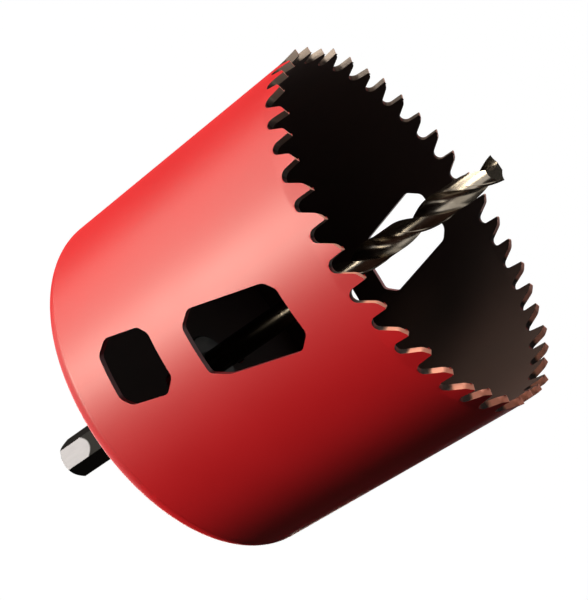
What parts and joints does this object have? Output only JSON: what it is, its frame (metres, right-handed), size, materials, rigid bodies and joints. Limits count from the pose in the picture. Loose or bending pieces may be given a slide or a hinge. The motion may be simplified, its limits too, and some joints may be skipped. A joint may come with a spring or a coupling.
{
  "type": "hole saw",
  "caption": "Deep red steel hole saw with a toothed rim, chamfered levering slots and a pilot drill, on an arbor with a hexagonal shank.",
  "frame": {"origin": "centre of the end face of the hexagonal shank, where the drill's chuck holds the tool", "axes": "+Z along the tool's axis from the shank to the drill's point; the first long slot faces -Y"},
  "size_m": [0.091, 0.092, 0.1395],
  "materials": {
    "red_paint": "glossy red enamel outside, dark bare steel inside",
    "shank_steel": "ground bright flats on a dark shank",
    "dark_steel": "black oxide",
    "bright_steel": "plain ground steel",
    "drill_steel": "polished high-speed steel"
  },
  "bodies": {
    "root": {"cup_wall": "red_paint", "cup_cap": "red_paint", "arbor_body": "shank_steel", "drive_plate": "dark_steel", "drive_pins": "bright_steel", "lock_nut": "dark_steel", "retaining_ring": "bright_steel", "drill_set_screw": "dark_steel", "pilot_drill": "drill_steel"}
  },
  "joints": []
}
